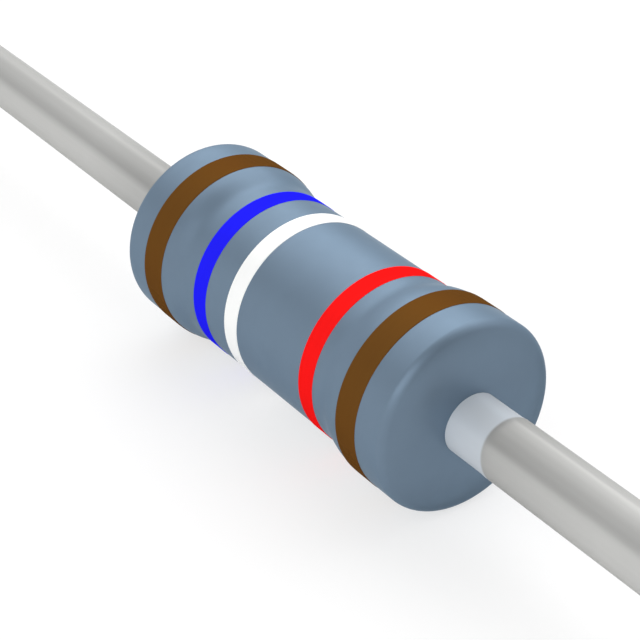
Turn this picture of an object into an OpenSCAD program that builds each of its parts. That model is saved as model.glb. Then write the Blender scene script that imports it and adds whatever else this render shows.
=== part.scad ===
// Axial film resistor: a ceramic rod with a spiral-cut metal film, two pressed caps,
// two welded wires, a lacquer coating and five painted code rings.
// The wires lie along X, and the origin is the middle of the body on their axis.

/* [Ceramic rod] */
// Diameter of the ceramic rod
rod_d = 1.08; // [0.9:0.01:1.3]
// Length of the ceramic rod
rod_l = 3.1; // [2.5:0.05:4]
// Chamfer round both ends of the rod
rod_edge = 0.06; // [0.04:0.01:0.1]

/* [Resistive film] */
// Thickness of the metal film, drawn thick enough to hold
film_t = 0.02; // [0.01:0.005:0.04]
// Width of the spiral cut through the film
kerf_w = 0.06; // [0.03:0.01:0.09]
// Turns that the spiral cut makes
kerf_turns = 8; // [3:1:10]
// Uncut film left beside each cap
kerf_margin = 0.2; // [0.1:0.01:0.35]

/* [End caps] */
// Wall thickness of a cap
cap_wall = 0.13; // [0.1:0.01:0.18]
// Thickness of a cap's floor
cap_floor = 0.15; // [0.1:0.01:0.2]
// How far a cap reaches over the rod
cap_depth = 0.5; // [0.4:0.01:0.65]
// Outer radius between a cap's floor and wall
cap_round = 0.12; // [0.06:0.01:0.16]
// Room between the rod's chamfer and the inner corner of a cap
cap_corner_room = 0.01; // [0.005:0.005:0.02]
// Lead-in chamfer inside a cap's rim
cap_lead_in = 0.03; // [0.02:0.005:0.06]

/* [Lead wires] */
// Diameter of the bare wire
wire_d = 0.49; // [0.4:0.01:0.6]
// Thickness of the solder that the wire was dipped in
solder_t = 0.005; // [0.003:0.001:0.01]
// Free length of each wire, from the body's end to its tip
wire_l = 11.2; // [6:0.1:38]
// Bare wire between the body and the edge of the solder
bare_l = 0.33; // [0.2:0.01:1.5]
// Length over which the solder thins out
solder_ramp = 0.05; // [0.02:0.01:0.1]
// Chamfer at the cut tip of the wire
tip_edge = 0.04; // [0.02:0.01:0.08]
// Height of the collar that the weld pressed out of the wire
weld_h = 0.05; // [0.03:0.01:0.05]
// How far the weld collar spreads beyond the wire
weld_spread = 0.1; // [0.06:0.01:0.15]

/* [Lacquer coating] */
// Lacquer over the film, between the caps
coat_film = 0.155; // [0.12:0.005:0.2]
// Lacquer over the wall of a cap
coat_cap = 0.09; // [0.06:0.005:0.14]
// Lacquer over the floor of a cap, measured on the axis
coat_end = 0.105; // [0.08:0.005:0.15]
// Radius of the slightly domed end face
end_crown = 4.5; // [3:0.1:12]
// Radius of the corner between the end face and the side
end_round = 0.07; // [0.04:0.01:0.12]
// How far before a cap's rim the body starts to narrow
shoulder_back = 0.22; // [0.1:0.01:0.3]
// Radius of the rounded shoulder
shoulder_round = 0.7; // [0.4:0.02:1]
// Radius of the hollow between the shoulder and the waist
hollow_round = 0.36; // [0.1:0.02:0.5]

/* [Code rings] */
// Thickness of the paint
paint_t = 0.02; // [0.015:0.001:0.03]
// Width of the first digit's ring
first_w = 0.255; // [0.18:0.005:0.3]
// Width of the tolerance ring
tolerance_w = 0.235; // [0.18:0.005:0.3]
// Width of the three inner rings
inner_w = 0.175; // [0.12:0.005:0.22]
// From the left end of the body to the middle of the first digit's ring
first_inset = 0.48; // [0.35:0.005:0.6]
// From the right end of the body to the middle of the tolerance ring
tolerance_inset = 0.475; // [0.35:0.005:0.6]
// From the first digit's ring to the second digit's ring
second_step = 0.61; // [0.5:0.005:0.75]
// From the second digit's ring to the third digit's ring
third_step = 0.45; // [0.35:0.005:0.55]
// From the tolerance ring back to the multiplier ring
multiplier_step = 0.585; // [0.5:0.005:0.7]

/* [Hidden] */

// Segments round a turned surface, along one arc of an outline and along one turn of the cut
turn_fn = 96;
arc_steps = 10;
cut_steps = 24;

ceramic_white = "#e9e6dd";
film_grey = "#6f6a66";
cap_nickel = "#b9b7b0";
wire_tin = "#c2c2bf";
lacquer_blue = "#738495";
ring_brown = "#6b461d";
ring_blue = "#2a28fb";
ring_white = "#fbfdfc";
ring_red = "#fb1b1e";

// Radii, from the rod outwards
rod_r = rod_d / 2;
film_r = rod_r + film_t;
cap_r = film_r + cap_wall;
end_r = cap_r + coat_cap;
waist_r = film_r + coat_film;
wire_r = wire_d / 2;
lead_r = wire_r + solder_t;
weld_r = wire_r + weld_spread;
cap_inner_round = rod_edge - cap_corner_room;

// Places along the axis, from the middle of the rod to the right
film_end = rod_l / 2 - rod_edge;
cap_rim = rod_l / 2 - cap_depth;
cap_face = rod_l / 2 + cap_floor;
body_end = cap_face + coat_end;
solder_start = body_end + bare_l;
lead_tip = body_end + wire_l;

// The spiral cut starts and ends at the two uncut margins
cut_start = kerf_margin - cap_rim;
kerf_pitch = (-2 * cut_start - kerf_w) / kerf_turns;

// The shoulder is a convex arc and a concave arc that touch at one tangent
shoulder_start = cap_rim + shoulder_back;
shoulder_drop = end_r - waist_r;
shoulder_sum = shoulder_round + hollow_round;
shoulder_turn = acos((shoulder_sum - shoulder_drop) / shoulder_sum);
hollow_x = shoulder_start - shoulder_sum * sin(shoulder_turn);

// The end face is a shallow dome that runs tangent into the corner round
crown_x = body_end - end_crown;
corner_r = end_r - end_round;
corner_turn = asin(corner_r / (end_crown - end_round));
corner_x = crown_x + (end_crown - end_round) * cos(corner_turn);

// Middles of the rings, from the left
first_x = first_inset - body_end;
second_x = first_x + second_step;
third_x = second_x + third_step;
tolerance_x = body_end - tolerance_inset;
multiplier_x = tolerance_x - multiplier_step;

// Points of an arc as [radius from the axis, place along it], without the arc's last point
function arc(centre, r, from, to) = [
    for (i = [0:arc_steps - 1])
        let (a = from + (to - from) * i / arc_steps)
        centre + r * [cos(a), sin(a)]
];

// The same points on the other side of the middle, in the opposite order
function mirrored(points) = [
    for (i = [len(points) - 1:-1:0]) [points[i].x, -points[i].y]
];

// Outline of the right half of the coated body, moved outwards by grow
function right_outline(grow) = concat(
    arc([0, crown_x], end_crown + grow, 90, 90 - corner_turn),
    arc([corner_r, corner_x], end_round + grow, 90 - corner_turn, 0),
    [[end_r + grow, corner_x]],
    arc([end_r - shoulder_round, shoulder_start], shoulder_round + grow, 0, -shoulder_turn),
    arc([waist_r + hollow_round, hollow_x], hollow_round - grow, 180 - shoulder_turn, 180),
    [[waist_r + grow, hollow_x]]
);

// Turns an outline of [radius, place] points about the X axis
module turned() {
    rotate([0, 90, 0])
        rotate_extrude($fn = turn_fn)
            children();
}

module ceramic_rod() {
    right_end = [
        [0, rod_l / 2],
        [rod_r - rod_edge, rod_l / 2],
        [rod_r, rod_l / 2 - rod_edge]
    ];
    color(ceramic_white)
        turned()
            polygon(concat(right_end, mirrored(right_end)));
}

// The four corners of the spiral cut's section after a number of steps along it.
// The section reaches well inside and outside the film.
function cut_section(step) =
    let (
        a = 360 * step / cut_steps,
        left = cut_start + kerf_pitch * step / cut_steps,
        right = left + kerf_w,
        corners = [
            [rod_r - film_t, left],
            [rod_r - film_t, right],
            [film_r + film_t, right],
            [film_r + film_t, left]
        ]
    )
    [for (c = corners) [c.y, c.x * cos(a), c.x * sin(a)]];

// Two triangles for each of the four sides between one section and the next
function cut_sides(step) = [
    for (k = [0:3])
        let (
            a = 4 * step + k,
            b = 4 * step + (k + 1) % 4
        )
        each [[a, a + 4, b + 4], [a, b + 4, b]]
];

module spiral_cut() {
    steps = cut_steps * kerf_turns;
    last = 4 * steps;
    polyhedron(
        points = [for (i = [0:steps]) each cut_section(i)],
        faces = concat(
            [[0, 1, 2, 3]],
            [for (i = [0:steps - 1]) each cut_sides(i)],
            [[last + 3, last + 2, last + 1, last]]
        ),
        convexity = 10
    );
}

// The film is a thin tube round the rod, and the spiral cut turns its middle into a long strip
module resistive_film() {
    color(film_grey)
        difference() {
            turned()
                translate([rod_r, -film_end])
                    square([film_t, 2 * film_end]);
            spiral_cut();
        }
}

// Outside of the right cap with the chamfer inside its rim, filled to the axis
module cap_outline() {
    polygon(concat(
        [[0, cap_rim + cap_lead_in], [0, cap_face]],
        arc([cap_r - cap_round, cap_face - cap_round], cap_round, 90, 0),
        [
            [cap_r, cap_face - cap_round],
            [cap_r, cap_rim],
            [film_r + cap_lead_in, cap_rim],
            [film_r, cap_rim + cap_lead_in]
        ]
    ));
}

// Inside of the right cap, which grips the film on the rod
module cap_bore() {
    corner = rod_l / 2 - cap_inner_round;
    polygon(concat(
        [[0, cap_rim], [0, rod_l / 2]],
        arc([film_r - cap_inner_round, corner], cap_inner_round, 90, 0),
        [[film_r, corner], [film_r, cap_rim]]
    ));
}

module end_cap_right() {
    color(cap_nickel)
        turned()
            difference() {
                cap_outline();
                cap_bore();
            }
}

module end_cap_left() {
    mirror([1, 0, 0])
        end_cap_right();
}

// The right wire, from the weld collar on the cap to the cut tip
module lead_outline() {
    polygon(concat(
        [[0, cap_face]],
        arc([weld_r - weld_h, cap_face], weld_h, 0, 90),
        [
            [weld_r - weld_h, cap_face + weld_h],
            [wire_r, cap_face + weld_h],
            [wire_r, solder_start],
            [lead_r, solder_start + solder_ramp],
            [lead_r, lead_tip - tip_edge],
            [lead_r - tip_edge, lead_tip],
            [0, lead_tip]
        ]
    ));
}

module lead_right() {
    color(wire_tin)
        turned()
            lead_outline();
}

module lead_left() {
    mirror([1, 0, 0])
        lead_right();
}

module body_outline(grow = 0) {
    right = right_outline(grow);
    polygon(concat(right, mirrored(right)));
}

// Everything that the lacquer flows round
module covered_outline() {
    translate([0, -film_end])
        square([film_r, 2 * film_end]);
    for (side = [0, 1])
        mirror([0, side]) {
            cap_outline();
            lead_outline();
        }
}

module lacquer_coating() {
    color(lacquer_blue)
        turned()
            difference() {
                body_outline();
                covered_outline();
            }
}

// A painted ring lies on the lacquer and follows its outline
module code_ring(middle, width) {
    turned()
        difference() {
            intersection() {
                body_outline(paint_t);
                translate([0, middle - width / 2])
                    square([2 * end_r, width]);
            }
            body_outline();
        }
}

module first_digit_ring() {
    color(ring_brown)
        code_ring(first_x, first_w);
}

module second_digit_ring() {
    color(ring_blue)
        code_ring(second_x, inner_w);
}

module third_digit_ring() {
    color(ring_white)
        code_ring(third_x, inner_w);
}

module multiplier_ring() {
    color(ring_red)
        code_ring(multiplier_x, inner_w);
}

module tolerance_ring() {
    color(ring_brown)
        code_ring(tolerance_x, tolerance_w);
}

ceramic_rod();
resistive_film();
end_cap_left();
end_cap_right();
lead_left();
lead_right();
lacquer_coating();
first_digit_ring();
second_digit_ring();
third_digit_ring();
multiplier_ring();
tolerance_ring();
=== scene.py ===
"""Looks of an axial film resistor: a lacquered body with five painted rings on two tinned wires.

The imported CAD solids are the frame. Every solid gets a finely turned mesh of the same form and the
finish of its real material. The studio round it has one pale floor, soft light and one camera.
Sizes are in millimetres up to the last step of each mesh, because the part is only millimetres thick.
X runs along the wires, Z is up, and the origin is the middle of the body.
"""

import logging
import math
from dataclasses import dataclass
from enum import Enum
from typing import Any, Mapping

import bpy
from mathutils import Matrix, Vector


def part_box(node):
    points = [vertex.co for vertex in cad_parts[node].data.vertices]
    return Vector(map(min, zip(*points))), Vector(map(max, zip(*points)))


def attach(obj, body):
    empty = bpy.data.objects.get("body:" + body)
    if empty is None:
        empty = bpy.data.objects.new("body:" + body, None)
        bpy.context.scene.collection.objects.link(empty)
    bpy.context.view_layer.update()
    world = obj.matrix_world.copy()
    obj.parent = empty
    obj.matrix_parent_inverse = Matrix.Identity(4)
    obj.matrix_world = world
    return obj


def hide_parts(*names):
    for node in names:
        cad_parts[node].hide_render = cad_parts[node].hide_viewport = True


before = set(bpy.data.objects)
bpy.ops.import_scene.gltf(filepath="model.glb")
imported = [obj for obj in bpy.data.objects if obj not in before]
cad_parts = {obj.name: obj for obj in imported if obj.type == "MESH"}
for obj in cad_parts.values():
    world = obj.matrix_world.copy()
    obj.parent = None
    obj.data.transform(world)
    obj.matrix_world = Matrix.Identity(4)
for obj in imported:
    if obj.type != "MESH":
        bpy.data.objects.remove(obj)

LOG = logging.getLogger("resistor")
BODY = "root"
# One millimetre in metres
MM = 0.001
# Steps in a full turn of a piece, and degrees in one step of an outline's arc
SEGMENTS = 160
ARC_STEP = 6.0
# Points that are closer than this many millimetres become one
WELD_DISTANCE = 0.00002
# Folds that are sharper than this stay sharp
SHARP_ANGLE = math.radians(35)


class Side(Enum):
    """The two ends of the part."""

    LEFT = "left"
    RIGHT = "right"


class PaintColour(Enum):
    """Colours of the code paints, as sRGB hex values."""

    BROWN = "#69461F"
    BLUE = "#2523F7"
    WHITE = "#FAFBFA"
    RED = "#FA1C1C"


def linear(colour: str) -> tuple[float, float, float, float]:
    """Turns an sRGB hex colour into the linear values that shaders use.

    Args:
        colour: A colour such as "#73849A".

    Returns:
        Red, green, blue and an alpha of 1.
    """
    parts = [int(colour[i:i + 2], 16) / 255 for i in (1, 3, 5)]
    limit, slope, offset, power = 0.04045, 12.92, 0.055, 2.4
    made = [p / slope if p <= limit else ((p + offset) / (1 + offset)) ** power for p in parts]
    return (made[0], made[1], made[2], 1.0)


def connect(tree: bpy.types.NodeTree, node: bpy.types.Node, inputs: Mapping[str | int, Any]) -> None:
    """Sets or links the input sockets of a node.

    Args:
        tree: The node tree that holds the node.
        node: The node.
        inputs: Values for its input sockets, by name or place. A socket given here is linked.
    """
    for key, value in inputs.items():
        if isinstance(value, bpy.types.NodeSocket):
            tree.links.new(value, node.inputs[key])
        else:
            node.inputs[key].default_value = value


def add_node(
    tree: bpy.types.NodeTree,
    kind: str,
    settings: Mapping[str, Any] | None = None,
    inputs: Mapping[str | int, Any] | None = None,
) -> bpy.types.Node:
    """Adds one node to a tree, sets it up and links it.

    Args:
        tree: The node tree that gets the node.
        kind: Blender's name for the kind of node.
        settings: Properties of the node itself, by name.
        inputs: Values or sockets for its input sockets, by name or place.

    Returns:
        The new node.
    """
    node = tree.nodes.new(kind)
    for name, value in (settings or {}).items():
        setattr(node, name, value)
    connect(tree, node, inputs or {})
    return node


@dataclass(frozen=True)
class Extent:
    """Reach of one CAD solid in millimetres: its two ends along X and its outer radius."""

    left: float
    right: float
    radius: float

    @classmethod
    def of(cls, node: str) -> "Extent":
        """Reads the reach of a CAD node from the frame."""
        low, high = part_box(node)
        return cls(low.x / MM, high.x / MM, high.z / MM)


class Outline:
    """Half section of a turned piece: points as (place along X, radius), in millimetres."""

    def __init__(self, x: float, r: float, reach: float = 0.05) -> None:
        """Starts an outline at a point.

        Args:
            x: Place of the first point along X.
            r: Radius of the first point.
            reach: Longest straight run without a point, which keeps smooth shading even.
        """
        self.points: list[tuple[float, float]] = [(x, r)]
        self.reach = reach

    def line(self, x: float, r: float) -> "Outline":
        """Runs straight to a point.

        Args:
            x: Place of the point along X.
            r: Radius of the point.

        Returns:
            The outline itself, so that runs can be chained.
        """
        x0, r0 = self.points[-1]
        pieces = math.ceil(math.hypot(x - x0, r - r0) / self.reach)
        for i in range(1, pieces + 1):
            share = i / pieces
            self.points.append((x0 + (x - x0) * share, r0 + (r - r0) * share))
        return self

    def arc(self, x: float, r: float, radius: float, start: float, end: float) -> "Outline":
        """Runs straight to the start of an arc and then along it.

        Args:
            x: Place of the arc's centre along X.
            r: Distance of the arc's centre from the axis.
            radius: The arc's own radius.
            start: Angle of the first point, in degrees from X outwards.
            end: Angle of the last point.

        Returns:
            The outline itself.
        """
        bend = abs(end - start)
        pieces = max(math.ceil(bend / ARC_STEP), math.ceil(math.radians(bend) * radius / self.reach), 2)
        for i in range(pieces + 1):
            turn = math.radians(start + (end - start) * i / pieces)
            point = (x + radius * math.cos(turn), r + radius * math.sin(turn))
            if i == 0:
                self.line(*point)
            else:
                self.points.append(point)
        return self

    def mirrored(self) -> list[tuple[float, float]]:
        """The same points on the other side of the middle, in the opposite order."""
        return [(-x, r) for x, r in reversed(self.points)]

    def both_ends(self) -> "Outline":
        """Adds the mirrored half, and joins the last point with its own mirror image.

        Returns:
            The outline itself.
        """
        half = self.mirrored()
        self.line(*half[0])
        self.points.extend(half[1:])
        return self

    def on_side(self, side: Side) -> "Outline":
        """The outline of the matching piece at one end of the part.

        Args:
            side: The end that the piece belongs to. Outlines are drawn for the right end.

        Returns:
            The outline itself, which is mirrored for the left end.
        """
        if side is Side.LEFT:
            self.points = self.mirrored()
        return self


def seen_directly(tree: bpy.types.NodeTree) -> bpy.types.NodeSocket:
    """Adds the test that tells what the eye sees from what only lights the part.

    Args:
        tree: The tree of a material or a world.

    Returns:
        A socket that is 1 for the camera, mirrors and glass, and 0 for all other light.
    """
    ray = add_node(tree, "ShaderNodeLightPath").outputs
    mirrored = add_node(
        tree,
        "ShaderNodeMath",
        {"operation": "MAXIMUM"},
        {0: ray["Is Glossy Ray"], 1: ray["Is Transmission Ray"]},
    )
    direct = add_node(
        tree,
        "ShaderNodeMath",
        {"operation": "MAXIMUM"},
        {0: ray["Is Camera Ray"], 1: mirrored.outputs[0]},
    )
    return direct.outputs[0]


def new_tree(name: str, inputs: Mapping[str, tuple[str, Any]]) -> tuple[bpy.types.NodeTree, Any]:
    """Starts a Geometry Nodes tree with named inputs and one geometry output.

    Args:
        name: Name of the tree.
        inputs: Kind of socket and first value of each input, by its name.

    Returns:
        The tree, and the outputs of its input node.
    """
    tree = bpy.data.node_groups.new(name, "GeometryNodeTree")
    tree.interface.new_socket("Geometry", in_out="INPUT", socket_type="NodeSocketGeometry")
    tree.interface.new_socket("Geometry", in_out="OUTPUT", socket_type="NodeSocketGeometry")
    for title, (kind, value) in inputs.items():
        socket = tree.interface.new_socket(title, in_out="INPUT", socket_type=kind)
        if value is not None:
            socket.default_value = value
    return tree, add_node(tree, "NodeGroupInput").outputs


def end_tree(tree: bpy.types.NodeTree, solid: bpy.types.NodeSocket, given: Any) -> None:
    """Ends a tree: smooth shading between sharp edges, real size in metres, and the finish.

    Args:
        tree: The tree that gets its last nodes.
        solid: Socket with the solid in millimetres.
        given: Outputs of the tree's input node, among them Sharp Angle, Unit and Finish.
    """
    smooth = add_node(tree, "GeometryNodeSetShadeSmooth", {"domain": "FACE"}, {"Geometry": solid})
    fold = add_node(tree, "GeometryNodeInputMeshEdgeAngle")
    sharp = add_node(
        tree,
        "FunctionNodeCompare",
        {"operation": "GREATER_THAN"},
        {"A": fold.outputs["Unsigned Angle"], "B": given["Sharp Angle"]},
    )
    creased = add_node(
        tree,
        "GeometryNodeSetShadeSmooth",
        {"domain": "EDGE"},
        {"Geometry": smooth.outputs[0], "Selection": sharp.outputs[0], "Shade Smooth": False},
    )
    sized = add_node(
        tree, "GeometryNodeTransform", inputs={"Geometry": creased.outputs[0], "Scale": given["Unit"]}
    )
    real = add_node(tree, "GeometryNodeRealizeInstances", inputs={"Geometry": sized.outputs[0]})
    dressed = add_node(
        tree, "GeometryNodeSetMaterial", inputs={"Geometry": real.outputs[0], "Material": given["Finish"]}
    )
    add_node(tree, "NodeGroupOutput", inputs={"Geometry": dressed.outputs[0]})


def turned_piece_tree() -> bpy.types.NodeTree:
    """Builds the tree that turns a half section about the X axis into a closed, smooth solid.

    A flat grid has a row for each point of the section and a column for each step of the turn.
    Each grid point goes to its section point, turned by its column's angle. The seam and the
    poles are then welded.

    Returns:
        The tree.
    """
    tree, given = new_tree("turned_piece", {
        "Segments": ("NodeSocketInt", SEGMENTS),
        "Weld": ("NodeSocketFloat", WELD_DISTANCE),
        "Sharp Angle": ("NodeSocketFloat", SHARP_ANGLE),
        "Unit": ("NodeSocketFloat", MM),
        "Finish": ("NodeSocketMaterial", None),
    })
    section = add_node(
        tree, "GeometryNodeAttributeDomainSize", {"component": "MESH"}, {"Geometry": given["Geometry"]}
    )
    columns = add_node(
        tree, "FunctionNodeIntegerMath", {"operation": "ADD"}, {0: given["Segments"], 1: 1}
    ).outputs[0]
    grid = add_node(
        tree,
        "GeometryNodeMeshGrid",
        inputs={"Vertices X": section.outputs["Point Count"], "Vertices Y": columns},
    )
    index = add_node(tree, "GeometryNodeInputIndex").outputs[0]
    row = add_node(tree, "FunctionNodeIntegerMath", {"operation": "DIVIDE"}, {0: index, 1: columns})
    column = add_node(tree, "FunctionNodeIntegerMath", {"operation": "MODULO"}, {0: index, 1: columns})
    share = add_node(
        tree, "ShaderNodeMath", {"operation": "DIVIDE"}, {0: column.outputs[0], 1: given["Segments"]}
    )
    angle = add_node(tree, "ShaderNodeMath", {"operation": "MULTIPLY"}, {0: share.outputs[0], 1: math.tau})
    point = add_node(
        tree,
        "GeometryNodeSampleIndex",
        {"data_type": "FLOAT_VECTOR", "domain": "POINT"},
        {
            "Geometry": given["Geometry"],
            "Value": add_node(tree, "GeometryNodeInputPosition").outputs[0],
            "Index": row.outputs[0],
        },
    )
    turned = add_node(
        tree,
        "ShaderNodeVectorRotate",
        {"rotation_type": "X_AXIS"},
        {"Vector": point.outputs[0], "Angle": angle.outputs[0]},
    )
    placed = add_node(
        tree,
        "GeometryNodeSetPosition",
        inputs={"Geometry": grid.outputs["Mesh"], "Position": turned.outputs[0]},
    )
    welded = add_node(
        tree,
        "GeometryNodeMergeByDistance",
        inputs={"Geometry": placed.outputs[0], "Distance": given["Weld"]},
    )
    end_tree(tree, welded.outputs[0], given)
    return tree


def spiral_cut_tree() -> bpy.types.NodeTree:
    """Builds the tree that cuts a spiral groove right through a tube about the X axis.

    The cutter is a straight bar wound round the axis: its length becomes the turns, while its
    width stays along the axis and its depth across the wall of the tube.

    Returns:
        The tree.
    """
    tree, given = new_tree("spiral_cut", {
        "Cut Start": ("NodeSocketFloat", 0.0),
        "Cut Width": ("NodeSocketFloat", 0.06),
        "Pitch": ("NodeSocketFloat", 0.2),
        "Turns": ("NodeSocketFloat", 8.0),
        "Middle Radius": ("NodeSocketFloat", 0.5),
        "Depth": ("NodeSocketFloat", 0.1),
        "Steps": ("NodeSocketInt", 8 * SEGMENTS),
        "Sharp Angle": ("NodeSocketFloat", SHARP_ANGLE),
        "Unit": ("NodeSocketFloat", MM),
        "Finish": ("NodeSocketMaterial", None),
    })
    bar = add_node(
        tree,
        "GeometryNodeMeshCube",
        inputs={"Size": (1, 1, 1), "Vertices X": given["Steps"], "Vertices Y": 2, "Vertices Z": 2},
    )
    position = add_node(tree, "GeometryNodeInputPosition")
    from_corner = add_node(
        tree, "ShaderNodeVectorMath", {"operation": "ADD"}, {0: position.outputs[0], 1: (0.5, 0.5, 0)}
    )
    size = add_node(
        tree, "ShaderNodeCombineXYZ", inputs={0: given["Turns"], 1: given["Cut Width"], 2: given["Depth"]}
    )
    sized = add_node(
        tree,
        "ShaderNodeVectorMath",
        {"operation": "MULTIPLY"},
        {0: from_corner.outputs[0], 1: size.outputs[0]},
    )
    turns, across, out = add_node(tree, "ShaderNodeSeparateXYZ", inputs={0: sized.outputs[0]}).outputs
    start = add_node(tree, "ShaderNodeMath", {"operation": "ADD"}, {0: across, 1: given["Cut Start"]})
    along = add_node(
        tree,
        "ShaderNodeMath",
        {"operation": "MULTIPLY_ADD"},
        {0: turns, 1: given["Pitch"], 2: start.outputs[0]},
    )
    radius = add_node(tree, "ShaderNodeMath", {"operation": "ADD"}, {0: out, 1: given["Middle Radius"]})
    angle = add_node(tree, "ShaderNodeMath", {"operation": "MULTIPLY"}, {0: turns, 1: math.tau})
    straight = add_node(tree, "ShaderNodeCombineXYZ", inputs={0: along.outputs[0], 1: radius.outputs[0]})
    wound = add_node(
        tree,
        "ShaderNodeVectorRotate",
        {"rotation_type": "X_AXIS"},
        {"Vector": straight.outputs[0], "Angle": angle.outputs[0]},
    )
    cutter = add_node(
        tree,
        "GeometryNodeSetPosition",
        inputs={"Geometry": bar.outputs["Mesh"], "Position": wound.outputs[0]},
    )
    cut = add_node(
        tree,
        "GeometryNodeMeshBoolean",
        {"operation": "DIFFERENCE", "solver": "EXACT"},
        {"Mesh 1": given["Geometry"], "Mesh 2": cutter.outputs[0]},
    )
    end_tree(tree, cut.outputs["Mesh"], given)
    return tree


class Workshop:
    """Turns outlines into finished pieces on the frame."""

    def __init__(self) -> None:
        """Builds the node trees that every piece shares."""
        self.turning = turned_piece_tree()
        self.spiral = spiral_cut_tree()

    def evaluate(
        self, piece: bpy.types.Object, tree: bpy.types.NodeTree, values: Mapping[str, Any]
    ) -> bpy.types.Mesh:
        """Runs a Geometry Nodes tree on an object and returns the plain mesh that it makes.

        Args:
            piece: The object. It has no modifier afterwards.
            tree: The tree to run.
            values: Values of the tree's inputs, by name.

        Returns:
            The new mesh.
        """
        modifier = piece.modifiers.new(tree.name, "NODES")
        modifier.node_group = tree
        for item in tree.interface.items_tree:
            if item.in_out == "INPUT" and item.name in values:
                modifier[item.identifier] = values[item.name]
        seen = piece.evaluated_get(bpy.context.evaluated_depsgraph_get())
        mesh = bpy.data.meshes.new_from_object(seen)
        piece.modifiers.remove(modifier)
        return mesh

    def turn(
        self, name: str, outline: Outline, finish: bpy.types.Material, unit: float = MM
    ) -> bpy.types.Object:
        """Turns an outline about the X axis.

        Args:
            name: Name of the new piece.
            outline: Its half section. It runs from right to left along the outside.
            finish: Its material.
            unit: Size in the mesh of one of the outline's millimetres.

        Returns:
            The new piece, at the origin, with its place in its mesh.
        """
        section = bpy.data.meshes.new(name + "_section")
        places = [(x, 0.0, r) for x, r in outline.points]
        section.from_pydata(places, [(i, i + 1) for i in range(len(places) - 1)], [])
        piece = bpy.data.objects.new(name, section)
        bpy.context.scene.collection.objects.link(piece)
        mesh = self.evaluate(piece, self.turning, {"Finish": finish, "Unit": unit})
        piece.data = mesh
        mesh.name = name
        bpy.data.meshes.remove(section)
        return piece

    def seat(self, piece: bpy.types.Object, node: str) -> None:
        """Puts a finished piece on the part in place of a CAD solid.

        Args:
            piece: The piece.
            node: The CAD node that it stands for.
        """
        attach(piece, BODY)
        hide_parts(node)
        LOG.info("%s stands for %s with %d faces", piece.name, node, len(piece.data.polygons))


@dataclass(frozen=True)
class Finish:
    """What every finish starts from: a material with one shader and patterns at real size."""

    name: str

    def start(self) -> tuple[bpy.types.Material, bpy.types.NodeTree, bpy.types.Node, bpy.types.NodeSocket]:
        """Makes an empty material.

        Returns:
            The material, its tree, its shader and its object coordinates in millimetres.
        """
        material = bpy.data.materials.new(self.name)
        material.use_nodes = True
        tree = material.node_tree
        tree.nodes.clear()
        shader = add_node(tree, "ShaderNodeBsdfPrincipled")
        add_node(tree, "ShaderNodeOutputMaterial", inputs={"Surface": shader.outputs[0]})
        place = add_node(tree, "ShaderNodeTexCoord")
        in_mm = add_node(
            tree,
            "ShaderNodeVectorMath",
            {"operation": "SCALE"},
            {0: place.outputs["Object"], "Scale": 1 / MM},
        )
        return material, tree, shader, in_mm.outputs[0]

    def pattern(
        self,
        tree: bpy.types.NodeTree,
        place: bpy.types.NodeSocket,
        spot_mm: tuple[float, float, float],
        layers: float,
        fineness: float,
    ) -> bpy.types.NodeSocket:
        """Adds an uneven pattern at its real size.

        Args:
            tree: The material's tree.
            place: Object coordinates in millimetres.
            spot_mm: Size of one spot along X, Y and Z.
            layers: Number of finer layers over the spots.
            fineness: Strength of each finer layer against the one before.

        Returns:
            A socket between 0 and 1.
        """
        in_spots = add_node(
            tree,
            "ShaderNodeVectorMath",
            {"operation": "MULTIPLY"},
            {0: place, 1: tuple(1 / size for size in spot_mm)},
        )
        spots = add_node(
            tree,
            "ShaderNodeTexNoise",
            inputs={"Vector": in_spots.outputs[0], "Scale": 1.0, "Detail": layers, "Roughness": fineness},
        )
        return spots.outputs[0]


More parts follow.
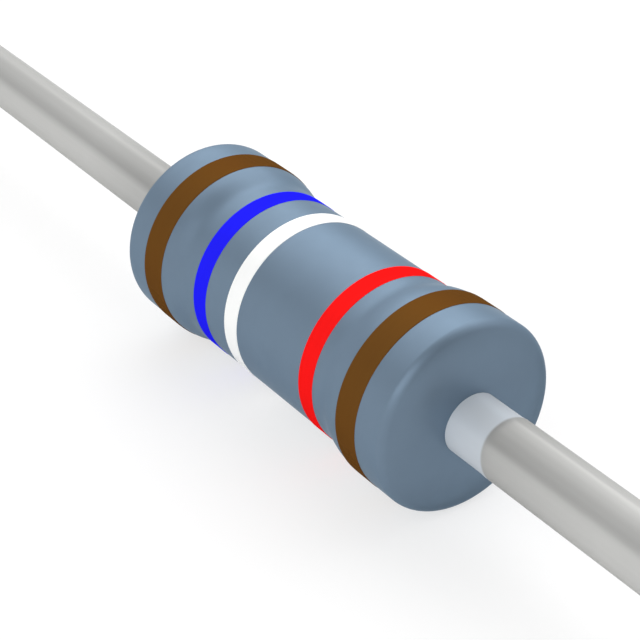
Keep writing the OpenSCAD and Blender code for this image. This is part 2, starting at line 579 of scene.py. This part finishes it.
@dataclass(frozen=True)
class EpoxyLacquer(Finish):
    """Baked epoxy lacquer, dipped on: blue-grey, with a pearly sheen and a faint orange peel."""

    rim_r: float
    colour: str = "#738698"
    shade: str = "#6D7E8F"
    patch_mm: float = 0.4
    peel_mm: float = 0.11
    peel_height_mm: float = 0.0005
    roughness: float = 0.4
    roughness_swing: float = 0.05
    metallic: float = 0.45
    gloss: float = 0.05
    rim_colour: str = "#AFC3D2"
    soft_edge_mm: float = 0.38
    soft_edge_lean: float = 0.75

    def softened(self, tree: bpy.types.NodeTree, place: bpy.types.NodeSocket) -> bpy.types.NodeSocket:
        """Leans the normal of both end faces outward towards their rim, which makes the rim look softer.

        Args:
            tree: The material's tree.
            place: Object coordinates in millimetres.

        Returns:
            A socket with the normal.
        """
        normal = add_node(tree, "ShaderNodeNewGeometry").outputs["Normal"]
        along = add_node(tree, "ShaderNodeSeparateXYZ", inputs={0: normal}).outputs["X"]
        flatness = add_node(
            tree, "ShaderNodeMath", {"operation": "MULTIPLY"}, {0: along, 1: along}
        ).outputs[0]
        outward = add_node(
            tree, "ShaderNodeVectorMath", {"operation": "MULTIPLY"}, {0: place, 1: (0, 1, 1)}
        ).outputs[0]
        radius = add_node(tree, "ShaderNodeVectorMath", {"operation": "LENGTH"}, {0: outward})
        nearness = add_node(
            tree,
            "ShaderNodeMapRange",
            inputs={
                "Value": radius.outputs["Value"],
                "From Min": self.rim_r - self.soft_edge_mm,
                "From Max": self.rim_r,
                "To Max": self.soft_edge_lean,
            },
        )
        amount = add_node(
            tree, "ShaderNodeMath", {"operation": "MULTIPLY"}, {0: nearness.outputs[0], 1: flatness}
        ).outputs[0]
        lean = add_node(
            tree, "ShaderNodeVectorMath", {"operation": "SCALE"}, {0: outward, "Scale": amount}
        ).outputs[0]
        leaning = add_node(tree, "ShaderNodeVectorMath", {"operation": "ADD"}, {0: normal, 1: lean})
        return add_node(
            tree, "ShaderNodeVectorMath", {"operation": "NORMALIZE"}, {0: leaning.outputs[0]}
        ).outputs[0]

    def build(self) -> bpy.types.Material:
        """Builds the lacquer: pigment clouds, uneven satin, and orange peel on faces with soft edges.

        Returns:
            The material.
        """
        material, tree, shader, place = self.start()
        clouds = self.pattern(tree, place, (self.patch_mm,) * 3, layers=3.0, fineness=0.55)
        peel = self.pattern(tree, place, (self.peel_mm,) * 3, layers=1.0, fineness=0.4)
        pigment = add_node(
            tree,
            "ShaderNodeMix",
            {"data_type": "RGBA"},
            {"Factor": clouds, "A": linear(self.shade), "B": linear(self.colour)},
        )
        satin = add_node(
            tree,
            "ShaderNodeMapRange",
            inputs={
                "Value": peel,
                "To Min": self.roughness - self.roughness_swing,
                "To Max": self.roughness + self.roughness_swing,
            },
        )
        bump = add_node(
            tree,
            "ShaderNodeBump",
            inputs={
                "Strength": 1.0,
                "Distance": self.peel_height_mm * MM,
                "Height": peel,
                "Normal": self.softened(tree, place),
            },
        )
        connect(tree, shader, {
            "Base Color": pigment.outputs["Result"],
            "Roughness": satin.outputs[0],
            "Normal": bump.outputs[0],
            "Metallic": self.metallic,
            "Specular IOR Level": self.gloss,
            "Specular Tint": linear(self.rim_colour),
        })
        return material


@dataclass(frozen=True)
class RingPaint(Finish):
    """Marking enamel rolled on by a wheel: opaque and even, with faint lines in the rolling direction."""

    colour: PaintColour
    line_mm: float = 0.02
    run_mm: float = 0.9
    depth: float = 0.04
    roughness: float = 0.42
    metallic: float = 0.17
    gloss: float = 0.0

    def build(self) -> bpy.types.Material:
        """Builds the paint: a solid colour, in its sheen too, with slightly thinner lines round the ring.

        Returns:
            The material.
        """
        material, tree, shader, place = self.start()
        grain = (self.line_mm, self.run_mm, self.run_mm)
        lines = self.pattern(tree, place, grain, layers=2.0, fineness=0.5)
        full = linear(self.colour.value)
        thin = tuple(part * (1 - self.depth) for part in full[:3]) + (1.0,)
        cover = add_node(
            tree, "ShaderNodeMix", {"data_type": "RGBA"}, {"Factor": lines, "A": thin, "B": full}
        )
        satin = add_node(
            tree,
            "ShaderNodeMapRange",
            inputs={
                "Value": lines,
                "To Min": self.roughness + self.depth,
                "To Max": self.roughness - self.depth,
            },
        )
        connect(tree, shader, {
            "Base Color": cover.outputs["Result"],
            "Roughness": satin.outputs[0],
            "Metallic": self.metallic,
            "Specular IOR Level": self.gloss,
            "Specular Tint": full,
        })
        return material


@dataclass(frozen=True)
class TinnedCopper(Finish):
    """Drawn copper wire in tin: plated near the body, where a painted reflection of the body's end makes
    it pale and bluish, then dipped in solder.

    The solder is painted darker next to the body, as painted shade, and brightens away from it. Lengths
    are in millimetres and angles in degrees.
    """

    dip_line: float
    wire_r: float
    dip_wave_mm: float = 0.03
    dip_tilt_mm: float = 0.045
    dip_blur_mm: float = 0.03
    # Painted shade: the solder is painted darker next to the body and brightens over this many millimetres
    painted_shade_mm: float = 1.2
    # The plated wire's colour, pale and bluish: a painted reflection of the body's end
    plated_with_painted_reflection: str = "#D3D9DF"
    bright: str = "#C2C2C0"
    # The solder's colour in the painted shade next to the body
    solder_in_painted_shade: str = "#ADADAB"
    streak: float = 0.25
    # Painted reflection: a darker band along the wire, with its turn, its reach, and its depth on the
    # solder and on the plated wire
    painted_band_turn: float = 63.0
    painted_band_reach: float = 37.0
    painted_band_depth: float = 0.27
    painted_band_depth_plated: float = 0.12
    line_mm: float = 0.035
    run_mm: float = 1.6
    dent_mm: float = 0.35
    dent_height_mm: float = 0.0008
    roughness: float = 0.15
    roughness_swing: float = 0.05
    metallic: float = 0.16
    gloss: float = 0.0
    rim_colour: str = "#707070"

    def facing(self, tree: bpy.types.NodeTree, place: bpy.types.NodeSocket) -> bpy.types.NodeSocket:
        """Adds the measure of how far round the wire a place is from the middle of the painted dark band.

        Args:
            tree: The material's tree.
            place: Object coordinates in millimetres.

        Returns:
            A socket that is 1 along the middle of the painted band and -1 opposite it.
        """
        turn = math.radians(self.painted_band_turn)
        toward = (0, -math.cos(turn) / self.wire_r, math.sin(turn) / self.wire_r)
        return add_node(
            tree, "ShaderNodeVectorMath", {"operation": "DOT_PRODUCT"}, {0: place, 1: toward}
        ).outputs["Value"]

    def dipped(
        self,
        tree: bpy.types.NodeTree,
        outward: bpy.types.NodeSocket,
        facing: bpy.types.NodeSocket,
        dents: bpy.types.NodeSocket,
    ) -> bpy.types.NodeSocket:
        """Adds the edge of the solder, slightly askew and wavy, which is also the edge of the painted
        reflection on the plated wire.

        Args:
            tree: The material's tree.
            outward: Distance from the middle of the body, in millimetres.
            facing: How near a place is to the middle of the painted band.
            dents: The pattern of the dents, which waves the edge too.

        Returns:
            A socket that is 0 on the plated wire and 1 on the solder.
        """
        tilted = add_node(
            tree,
            "ShaderNodeMath",
            {"operation": "MULTIPLY_ADD"},
            {0: facing, 1: self.dip_tilt_mm, 2: outward},
        )
        wavy = add_node(
            tree,
            "ShaderNodeMath",
            {"operation": "MULTIPLY_ADD"},
            {0: dents, 1: -self.dip_wave_mm, 2: tilted.outputs[0]},
        )
        return add_node(
            tree,
            "ShaderNodeMapRange",
            {"interpolation_type": "SMOOTHSTEP"},
            {
                "Value": wavy.outputs[0],
                "From Min": self.dip_line,
                "From Max": self.dip_line + self.dip_blur_mm,
            },
        ).outputs[0]

    def solder(
        self, tree: bpy.types.NodeTree, outward: bpy.types.NodeSocket, lines: bpy.types.NodeSocket
    ) -> bpy.types.NodeSocket:
        """Adds the solder's colour: painted shade next to the body that fades away from it, and brighter
        drawing lines.

        Args:
            tree: The material's tree.
            outward: Distance from the middle of the body, in millimetres.
            lines: The pattern of the drawing lines.

        Returns:
            A socket with the colour.
        """
        # Painted shade next to the body, fading out away from it
        distance = add_node(
            tree,
            "ShaderNodeMapRange",
            inputs={
                "Value": outward,
                "From Min": self.dip_line,
                "From Max": self.dip_line + self.painted_shade_mm,
                "To Max": 1 - self.streak,
            },
        )
        brightness = add_node(
            tree,
            "ShaderNodeMath",
            {"operation": "MULTIPLY_ADD"},
            {0: lines, 1: self.streak, 2: distance.outputs[0]},
        )
        return add_node(
            tree,
            "ShaderNodeMix",
            {"data_type": "RGBA"},
            {"Factor": brightness.outputs[0], "A": linear(self.solder_in_painted_shade), "B": linear(self.bright)},
        ).outputs["Result"]

    def painted_reflection_band(
        self, tree: bpy.types.NodeTree, facing: bpy.types.NodeSocket, dipped: bpy.types.NodeSocket
    ) -> bpy.types.NodeSocket:
        """Adds a painted reflection: a darker band along the wire, at a fixed turn round it.

        It paints on both wires the long dark band that a dark reflection gives them.

        Args:
            tree: The material's tree.
            facing: How near a place is to the middle of the painted band.
            dipped: 0 on the plated wire and 1 on the solder, which shows the painted band more.

        Returns:
            A socket with the share of the brightness that is left.
        """
        darkest = add_node(
            tree,
            "ShaderNodeMapRange",
            inputs={"Value": dipped, "To Min": 1 - self.painted_band_depth_plated, "To Max": 1 - self.painted_band_depth},
        )
        return add_node(
            tree,
            "ShaderNodeMapRange",
            {"interpolation_type": "SMOOTHSTEP"},
            {
                "Value": facing,
                "From Min": math.cos(math.radians(self.painted_band_reach)),
                "To Min": 1.0,
                "To Max": darkest.outputs[0],
            },
        ).outputs[0]

    def build(self) -> bpy.types.Material:
        """Builds the tin: a plated length with a painted reflection, a dipped length with painted shade
        next to the body, a painted dark reflection band, fine drawing lines and shallow dents.

        Returns:
            The material.
        """
        material, tree, shader, place = self.start()
        grain = (self.run_mm, self.line_mm, self.line_mm)
        lines = self.pattern(tree, place, grain, layers=2.0, fineness=0.5)
        dents = self.pattern(tree, place, (self.dent_mm,) * 3, layers=1.0, fineness=0.4)
        along = add_node(tree, "ShaderNodeSeparateXYZ", inputs={0: place}).outputs["X"]
        outward = add_node(tree, "ShaderNodeMath", {"operation": "ABSOLUTE"}, {0: along}).outputs[0]
        facing = self.facing(tree, place)
        dipped = self.dipped(tree, outward, facing, dents)
        # The plated wire with its painted reflection of the body's end, then the solder
        tin = add_node(
            tree,
            "ShaderNodeMix",
            {"data_type": "RGBA"},
            {"Factor": dipped, "A": linear(self.plated_with_painted_reflection), "B": self.solder(tree, outward, lines)},
        )
        # Darkens the tin along the painted reflection band
        tin_under_painted_band = add_node(
            tree,
            "ShaderNodeVectorMath",
            {"operation": "SCALE"},
            {0: tin.outputs["Result"], "Scale": self.painted_reflection_band(tree, facing, dipped)},
        )
        satin = add_node(
            tree,
            "ShaderNodeMapRange",
            inputs={
                "Value": lines,
                "To Min": self.roughness + self.roughness_swing,
                "To Max": self.roughness - self.roughness_swing,
            },
        )
        bump = add_node(
            tree,
            "ShaderNodeBump",
            inputs={"Strength": 1.0, "Distance": self.dent_height_mm * MM, "Height": dents},
        )
        connect(tree, shader, {
            "Base Color": tin_under_painted_band.outputs[0],
            "Roughness": satin.outputs[0],
            "Normal": bump.outputs[0],
            "Metallic": self.metallic,
            "Specular IOR Level": self.gloss,
            "Specular Tint": linear(self.rim_colour),
        })
        return material


@dataclass(frozen=True)
class GrainedSolid(Finish):
    """An inner material that is one substance with a grain: two close colours and a fine relief."""

    light: str
    dark: str
    grain_mm: float
    relief_mm: float
    roughness: float
    metallic: float = 0.0

    def build(self) -> bpy.types.Material:
        """Builds the grain in colour and relief.

        Returns:
            The material.
        """
        material, tree, shader, place = self.start()
        grain = self.pattern(tree, place, (self.grain_mm,) * 3, layers=3.0, fineness=0.6)
        tone = add_node(
            tree,
            "ShaderNodeMix",
            {"data_type": "RGBA"},
            {"Factor": grain, "A": linear(self.dark), "B": linear(self.light)},
        )
        bump = add_node(
            tree,
            "ShaderNodeBump",
            inputs={"Strength": 1.0, "Distance": self.relief_mm * MM, "Height": grain},
        )
        connect(tree, shader, {
            "Base Color": tone.outputs["Result"],
            "Normal": bump.outputs[0],
            "Roughness": self.roughness,
            "Metallic": self.metallic,
        })
        return material


@dataclass(frozen=True)
class Core:
    """What the lacquer hides: the ceramic rod, the spiral-cut film and the two pressed caps."""

    rod: Extent
    film: Extent
    cap: Extent
    rod_edge: float = 0.06
    kerf_w: float = 0.06
    kerf_turns: int = 8
    kerf_margin: float = 0.2
    cap_floor: float = 0.15
    cap_round: float = 0.12
    cap_corner_room: float = 0.01
    cap_lead_in: float = 0.03

    @classmethod
    def from_frame(cls) -> "Core":
        """Takes the sizes that the frame holds from its solids."""
        return cls(Extent.of("ceramic_rod"), Extent.of("resistive_film"), Extent.of("end_cap_right"))

    def rod_outline(self) -> Outline:
        """The rod, chamfered at both ends."""
        half = Outline(self.rod.right, 0).line(self.rod.right, self.rod.radius - self.rod_edge)
        return half.line(self.rod.right - self.rod_edge, self.rod.radius).both_ends()

    def film_outline(self) -> Outline:
        """The film before it is cut: a tube round the rod.

        Returns:
            Its closed half section.
        """
        tube = Outline(self.film.right, self.rod.radius)
        tube.line(self.film.right, self.film.radius).line(self.film.left, self.film.radius)
        return tube.line(self.film.left, self.rod.radius).line(self.film.right, self.rod.radius)

    def cap_outline(self) -> Outline:
        """A cap for the right end: floor, rounded corner, wall and the chamfer inside its rim.

        Returns:
            Its half section, from the axis outside to the axis inside.
        """
        inner_face = self.cap.right - self.cap_floor
        inner_round = self.rod_edge - self.cap_corner_room
        cap = Outline(self.cap.right, 0)
        cap.arc(self.cap.right - self.cap_round, self.cap.radius - self.cap_round, self.cap_round, 0, 90)
        cap.line(self.cap.left, self.cap.radius).line(self.cap.left, self.film.radius + self.cap_lead_in)
        cap.line(self.cap.left + self.cap_lead_in, self.film.radius)
        cap.arc(inner_face - inner_round, self.film.radius - inner_round, inner_round, 90, 0)
        return cap.line(inner_face, 0)

    def build(self, shop: Workshop) -> None:
        """Makes the rod, the film and both caps.

        Args:
            shop: The workshop that turns and seats them.
        """
        # Alumina: fired white ceramic, which looks chalky and slightly warm
        alumina = GrainedSolid(
            "alumina", light="#EDEAE1", dark="#E2DED3", grain_mm=0.02, relief_mm=0.0008, roughness=0.7
        ).build()
        # Nickel-chromium film, evaporated on the rod: dark grey metal with a fine sparkle
        nichrome = GrainedSolid(
            "nickel_chromium_film",
            light="#77716C",
            dark="#5F5A56",
            grain_mm=0.015,
            relief_mm=0.0003,
            roughness=0.32,
            metallic=1.0,
        ).build()
        # Tinned steel, pressed into a cap: pale satin metal
        steel = GrainedSolid(
            "pressed_tinned_steel",
            light="#C6C4BD",
            dark="#B4B2AB",
            grain_mm=0.03,
            relief_mm=0.0005,
            roughness=0.3,
            metallic=1.0,
        ).build()
        shop.seat(shop.turn("rod", self.rod_outline(), alumina), "ceramic_rod")
        film = shop.turn("film", self.film_outline(), nichrome, unit=1.0)
        self.cut_spiral(shop, film, nichrome)
        shop.seat(film, "resistive_film")
        for side in Side:
            cap = shop.turn("cap_" + side.value, self.cap_outline().on_side(side), steel)
            shop.seat(cap, "end_cap_" + side.value)

    def cut_spiral(self, shop: Workshop, film: bpy.types.Object, finish: bpy.types.Material) -> None:
        """Cuts the spiral that turns the middle of the film into one long strip.

        Args:
            shop: The workshop with the cutting tree.
            film: The tube of film, still in millimetres, which gets the cut mesh.
            finish: Its material.
        """
        cut_start = self.kerf_margin - self.cap.left
        wall = self.film.radius - self.rod.radius
        film.data = shop.evaluate(film, shop.spiral, {
            "Cut Start": cut_start,
            "Cut Width": self.kerf_w,
            "Pitch": (-2 * cut_start - self.kerf_w) / self.kerf_turns,
            "Turns": float(self.kerf_turns),
            "Middle Radius": self.film.radius - wall / 2,
            # Three times the wall, so that the cut goes right through
            "Depth": 3 * wall,
            "Steps": self.kerf_turns * SEGMENTS + 1,
            "Finish": finish,
        })
        film.data.name = film.name


@dataclass(frozen=True)
class LeadWires:
    """The two tinned wires, welded to the caps and dipped in solder up to near the body."""

    wire: Extent
    body_end: float
    wire_r: float = 0.245
    solder_t: float = 0.005
    bare_l: float = 0.33
    solder_ramp: float = 0.05
    tip_edge: float = 0.04
    weld_h: float = 0.05
    longest_face: float = 0.2

    @property
    def dipped_r(self) -> float:
        """Radius of the wire with its solder."""
        return self.wire_r + self.solder_t

    @property
    def solder_start(self) -> float:
        """Where the solder starts to cover the bare wire."""
        return self.body_end + self.bare_l

    @property
    def collar_r(self) -> float:
        """Radius of the weld collar's outer edge, short of its rounding."""
        return self.wire.radius - self.weld_h

    def outline(self) -> Outline:
        """The right wire from its cut tip to its weld collar.

        Returns:
            Its half section.
        """
        tip = self.wire.right
        wire = Outline(tip, 0, reach=self.longest_face)
        wire.line(tip, self.dipped_r - self.tip_edge).line(tip - self.tip_edge, self.dipped_r)
        wire.line(self.solder_start + self.solder_ramp, self.dipped_r).line(self.solder_start, self.wire_r)
        wire.line(self.wire.left + self.weld_h, self.wire_r)
        return wire.arc(self.wire.left, self.collar_r, self.weld_h, 0, 90).line(self.wire.left, 0)

    def build(self, shop: Workshop) -> None:
        """Makes both wires.

        Args:
            shop: The workshop that turns and seats them.
        """
        tin = TinnedCopper(
            "tinned_copper", dip_line=self.solder_start + self.solder_ramp, wire_r=self.dipped_r
        ).build()
        for side in Side:
            wire = shop.turn("wire_" + side.value, self.outline().on_side(side), tin)
            shop.seat(wire, "lead_" + side.value)


@dataclass(frozen=True)
class CoatedBody:
    """The lacquer: thick over the caps, drawn in at the waist, slightly domed at both ends."""

    core: Core
    coat: Extent
    waist_r: float
    coat_end: float = 0.105
    end_crown: float = 4.5
    end_round: float = 0.07
    shoulder_back: float = 0.22
    shoulder_round: float = 0.7
    hollow_round: float = 0.36

    @property
    def body_end(self) -> float:
        """Where the domed end meets the axis."""
        return self.core.cap.right + self.coat_end

    @property
    def shoulder_start(self) -> float:
        """Where the side starts to narrow."""
        return self.core.cap.left + self.shoulder_back

    @property
    def shoulder_turn(self) -> float:
        """Angle of the tangent that the shoulder and the hollow share, in radians."""
        total = self.shoulder_round + self.hollow_round
        return math.acos((total - self.coat.radius + self.waist_r) / total)

    @property
    def hollow_x(self) -> float:
        """Where the hollow runs out into the waist."""
        total = self.shoulder_round + self.hollow_round
        return self.shoulder_start - total * math.sin(self.shoulder_turn)

    def outside(self, bore_r: float) -> Outline:
        """The outer face from the right bore to the left one.

        Args:
            bore_r: Radius of the bore that the wire fills.

        Returns:
            An outline from right to left.
        """
        crown_x = self.body_end - self.end_crown
        corner_r = self.coat.radius - self.end_round
        inner_crown = self.end_crown - self.end_round
        corner_turn = math.asin(corner_r / inner_crown)
        corner_x = crown_x + inner_crown * math.cos(corner_turn)
        bore_turn = math.asin(bore_r / self.end_crown)
        turn = math.degrees(self.shoulder_turn)
        side = Outline(crown_x + self.end_crown * math.cos(bore_turn), bore_r)
        side.arc(crown_x, 0, self.end_crown, math.degrees(bore_turn), math.degrees(corner_turn))
        side.arc(corner_x, corner_r, self.end_round, math.degrees(corner_turn), 90)
        side.arc(
            self.shoulder_start, self.coat.radius - self.shoulder_round, self.shoulder_round, 90, 90 + turn
        )
        side.arc(self.hollow_x, self.waist_r + self.hollow_round, self.hollow_round, turn - 90, -90)
        return side.both_ends()

    def inside(self, wires: LeadWires) -> Outline:
        """The inner face, which fits round the wires, the caps and the film.

        Args:
            wires: The wires, for their radius and their weld collars.

        Returns:
            An outline from right to left.
        """
        core = self.core
        face = core.cap.right
        inner = Outline(face + wires.weld_h, wires.wire_r)
        inner.arc(face, wires.collar_r, wires.weld_h, 0, 90)
        inner.arc(face - core.cap_round, core.cap.radius - core.cap_round, core.cap_round, 0, 90)
        inner.line(core.cap.left, core.cap.radius)
        inner.line(core.cap.left, core.film.radius + core.cap_lead_in)
        return inner.line(core.cap.left + core.cap_lead_in, core.film.radius).both_ends()

    def outline(self, wires: LeadWires) -> Outline:
        """The whole half section of the lacquer.

        Args:
            wires: The wires that it fits round.

        Returns:
            The outer and the inner face as one closed outline.
        """
        coat = self.outside(wires.wire_r)
        for point in reversed(self.inside(wires).points):
            coat.line(*point)
        return coat.line(*coat.points[0])

    def side_radius(self, x: float) -> float:
        """Radius of the body's side.

        Args:
            x: Place along the body, short of the rounded corners.

        Returns:
            The radius there.
        """
        place = abs(x)
        joint = self.hollow_x + self.hollow_round * math.sin(self.shoulder_turn)
        if place <= self.hollow_x:
            return self.waist_r
        if place <= joint:
            run = place - self.hollow_x
            return self.waist_r + self.hollow_round - math.sqrt(self.hollow_round ** 2 - run ** 2)
        if place <= self.shoulder_start:
            run = self.shoulder_start - place
            return self.coat.radius - self.shoulder_round + math.sqrt(self.shoulder_round ** 2 - run ** 2)
        return self.coat.radius

    def build(self, shop: Workshop, wires: LeadWires) -> None:
        """Makes the lacquer.

        Args:
            shop: The workshop that turns and seats it.
            wires: The wires that it fits round.
        """
        lacquer = EpoxyLacquer("epoxy_lacquer", rim_r=self.coat.radius).build()
        body = shop.turn("coated_body", self.outline(wires), lacquer)
        shop.seat(body, "lacquer_coating")


@dataclass(frozen=True)
class CodeRing:
    """One painted ring: the solid that it stands for and the colour of its paint."""

    meaning: str
    colour: PaintColour

    @property
    def node(self) -> str:
        """The CAD node of the ring."""
        return self.meaning + "_ring"


@dataclass(frozen=True)
class ColourCode:
    """The five painted rings. Each follows the side of the body and ends in a thin, soft edge."""

    body: CoatedBody
    rings: tuple[CodeRing, ...] = (
        CodeRing("first_digit", PaintColour.BROWN),
        CodeRing("second_digit", PaintColour.BLUE),
        CodeRing("third_digit", PaintColour.WHITE),
        CodeRing("multiplier", PaintColour.RED),
        CodeRing("tolerance", PaintColour.BROWN),
    )
    proud: float = 0.004
    edge: float = 0.008
    edge_steps: int = 5
    run: float = 0.015

    def paint_line(self, ring: Extent) -> list[tuple[float, float]]:
        """The top of the paint as places along X and heights over the lacquer, from right to left.

        Args:
            ring: Reach of the CAD ring.

        Returns:
            The points: a lip at each edge and a level run between them.
        """
        turns = [math.radians(90 * i / self.edge_steps) for i in range(self.edge_steps + 1)]
        lip = [(self.edge * (1 - math.cos(turn)), self.proud * math.sin(turn)) for turn in turns]
        level = ring.right - ring.left - 2 * self.edge
        steps = math.ceil(level / self.run)
        right = [(ring.right - inset, height) for inset, height in lip]
        middle = [(ring.right - self.edge - level * i / steps, self.proud) for i in range(1, steps)]
        left = [(ring.left + inset, height) for inset, height in reversed(lip)]
        return right + middle + left

    def outline(self, ring: Extent) -> Outline:
        """The closed half section of one ring.

        Args:
            ring: Reach of the CAD ring.

        Returns:
            The half section: along the top of the paint to the left, and back inside the lacquer.
        """
        top = self.paint_line(ring)
        start = top[0][0]
        band = Outline(start, self.body.side_radius(start))
        for x, height in top[1:]:
            band.line(x, self.body.side_radius(x) + height)
        for x, _ in reversed(top[:-1]):
            band.line(x, self.body.side_radius(x) - self.proud)
        return band.line(*band.points[0])

    def build(self, shop: Workshop) -> None:
        """Makes the five rings, with one paint for each colour.

        Args:
            shop: The workshop that turns and seats them.
        """
        paints = {
            colour: RingPaint(colour.name.lower() + "_enamel", colour).build() for colour in PaintColour
        }
        for ring in self.rings:
            outline = self.outline(Extent.of(ring.node))
            band = shop.turn("ring_" + ring.meaning, outline, paints[ring.colour])
            shop.seat(band, ring.node)


def direction(azimuth: float, elevation: float) -> Vector:
    """Turns a viewing angle into the way from the part towards the viewer.

    Args:
        azimuth: Degrees from -Y, growing towards +X.
        elevation: Degrees above the floor.

    Returns:
        The way, one unit long.
    """
    turn, rise = math.radians(azimuth), math.radians(elevation)
    level = math.cos(rise)
    return Vector((math.sin(turn) * level, -math.cos(turn) * level, math.sin(rise)))


@dataclass(frozen=True)
class SkyPatch:
    """A round soft light in the sky, brightest in its middle. Its angles are in degrees."""

    azimuth: float
    elevation: float
    reach: float
    strength: float


@dataclass(frozen=True)
class StudioCamera:
    """The camera of the photograph. Its places are in millimetres and its angles in degrees."""

    azimuth: float = 54.80
    elevation: float = 31.58
    distance: float = 14.27
    aim: tuple[float, float, float] = (-0.079, 0.0, -0.080)
    focal_length: float = 102.03
    sensor: float = 36.0
    nearest: float = 0.5
    farthest: float = 5000.0

    def build(self) -> None:
        """Makes the camera and hands it to the scene."""
        back = direction(self.azimuth, self.elevation)
        data = bpy.data.cameras.new("studio_camera")
        data.lens = self.focal_length
        data.sensor_width = self.sensor
        data.clip_start = self.nearest * MM
        data.clip_end = self.farthest * MM
        camera = bpy.data.objects.new("studio_camera", data)
        bpy.context.scene.collection.objects.link(camera)
        camera.location = (Vector(self.aim) + back * self.distance) * MM
        camera.rotation_mode = "QUATERNION"
        camera.rotation_quaternion = (-back).to_track_quat("-Z", "Y")
        bpy.context.scene.camera = camera


@dataclass(frozen=True)
class Studio:
    """One pale floor, a soft sky and the camera. Lengths are in millimetres and angles in degrees."""

    floor_z: float
    floor_size: float = 2000.0
    floor_paint: str = "#F4F4F4"
    floor_shadow: float = 0.35
    floor_glow: float = 0.66
    light_colour: str = "#FFFFFF"
    ambient: float = 0.24
    backdrop_top: float = 21.0
    backdrop_blur: float = 0.015
    lights: tuple[SkyPatch, ...] = (
        # The main light from the front, with a faint one on its left
        SkyPatch(20.0, 30.0, 40.0, 2.1),
        SkyPatch(-20.0, 30.0, 40.0, 0.25),
        # Soft lights from behind, which keep the far side from going dark
        SkyPatch(140.0, 30.0, 40.0, 0.4),
        SkyPatch(180.0, 35.0, 40.0, 1.25),
        SkyPatch(-150.0, 60.0, 35.0, 1.4),
        # An arc of small lights opposite the camera, which gives the top of the body its sheen
        SkyPatch(-75.0, 43.9, 26.0, 1.15),
        SkyPatch(-105.0, 43.9, 26.0, 1.4),
        SkyPatch(-123.5, 33.4, 26.0, 1.05),
        SkyPatch(-133.0, 17.7, 26.0, 2.0),
    )
    camera: StudioCamera = StudioCamera()

    def build_floor(self) -> None:
        """Lays the floor under the body.

        The camera, mirrors and glass see it lit up to white, apart from the part's own shadow.
        """
        half = self.floor_size / 2 * MM
        height = self.floor_z * MM
        square = [(x * half, y * half, height) for x, y in ((-1, -1), (1, -1), (1, 1), (-1, 1))]
        mesh = bpy.data.meshes.new("floor")
        mesh.from_pydata(square, [], [(0, 1, 2, 3)])
        floor = bpy.data.objects.new("floor", mesh)
        bpy.context.scene.collection.objects.link(floor)
        # White card: matt, and as bright as the backdrop
        material = bpy.data.materials.new("white_card")
        material.use_nodes = True
        tree = material.node_tree
        tree.nodes.clear()
        card = add_node(tree, "ShaderNodeBsdfDiffuse", inputs={"Color": linear(self.floor_paint)})
        grey = (self.floor_shadow,) * 3 + (1.0,)
        shadowed = add_node(tree, "ShaderNodeBsdfDiffuse", inputs={"Color": grey})
        glow = add_node(tree, "ShaderNodeEmission", inputs={"Strength": self.floor_glow})
        seen = add_node(tree, "ShaderNodeAddShader", inputs={0: shadowed.outputs[0], 1: glow.outputs[0]})
        either = add_node(
            tree,
            "ShaderNodeMixShader",
            inputs={0: seen_directly(tree), 1: card.outputs[0], 2: seen.outputs[0]},
        )
        add_node(tree, "ShaderNodeOutputMaterial", inputs={"Surface": either.outputs[0]})
        mesh.materials.append(material)

    def build_sky(self) -> None:
        """Lights the part with soft lights overhead and a white backdrop round the floor.

        The camera, mirrors and glass see the backdrop as plain white, and it gives no light itself.
        """
        world = bpy.data.worlds.new("studio_sky")
        bpy.context.scene.world = world
        world.use_nodes = True
        tree = world.node_tree
        tree.nodes.clear()
        way = add_node(tree, "ShaderNodeTexCoord").outputs["Generated"]
        total: float | bpy.types.NodeSocket = self.ambient
        for light in self.lights:
            toward = add_node(
                tree,
                "ShaderNodeVectorMath",
                {"operation": "DOT_PRODUCT"},
                {0: way, 1: direction(light.azimuth, light.elevation)},
            )
            glow = add_node(
                tree,
                "ShaderNodeMapRange",
                {"interpolation_type": "SMOOTHSTEP"},
                {
                    "Value": toward.outputs["Value"],
                    "From Min": math.cos(math.radians(light.reach)),
                    "To Max": light.strength,
                },
            )
            total = add_node(
                tree, "ShaderNodeMath", {"operation": "ADD"}, {0: glow.outputs[0], 1: total}
            ).outputs[0]
        height = add_node(tree, "ShaderNodeSeparateXYZ", inputs={0: way}).outputs["Z"]
        top = math.sin(math.radians(self.backdrop_top))
        behind = add_node(
            tree,
            "ShaderNodeMapRange",
            {"interpolation_type": "SMOOTHSTEP"},
            {
                "Value": height,
                "From Min": top - self.backdrop_blur,
                "From Max": top + self.backdrop_blur,
                "To Min": 1.0,
                "To Max": 0.0,
            },
        )
        backdrop = add_node(
            tree,
            "ShaderNodeMath",
            {"operation": "MULTIPLY"},
            {0: behind.outputs[0], 1: seen_directly(tree)},
        )
        strength = add_node(
            tree,
            "ShaderNodeMix",
            {"data_type": "FLOAT"},
            {"Factor": backdrop.outputs[0], "A": total, "B": 1.0},
        )
        sky = add_node(
            tree,
            "ShaderNodeBackground",
            inputs={"Color": linear(self.light_colour), "Strength": strength.outputs["Result"]},
        )
        add_node(tree, "ShaderNodeOutputWorld", inputs={"Surface": sky.outputs[0]})

    def build(self) -> None:
        """Makes the camera, the floor and the sky."""
        self.camera.build()
        self.build_floor()
        self.build_sky()
        bpy.context.scene.view_settings.view_transform = "Standard"


def main() -> None:
    """Builds the part on its frame, and the studio round it."""
    logging.basicConfig(level=logging.INFO, format="%(name)s: %(message)s")
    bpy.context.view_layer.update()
    shop = Workshop()
    core = Core.from_frame()
    paint_t = Extent.of("tolerance_ring").radius - Extent.of("lacquer_coating").radius
    waist_r = Extent.of("second_digit_ring").radius - paint_t
    body = CoatedBody(core, Extent.of("lacquer_coating"), waist_r)
    wires = LeadWires(Extent.of("lead_right"), body.body_end)
    core.build(shop)
    wires.build(shop)
    body.build(shop, wires)
    ColourCode(body).build(shop)
    Studio(floor_z=-Extent.of("tolerance_ring").radius).build()


if __name__ == "__main__":
    main()
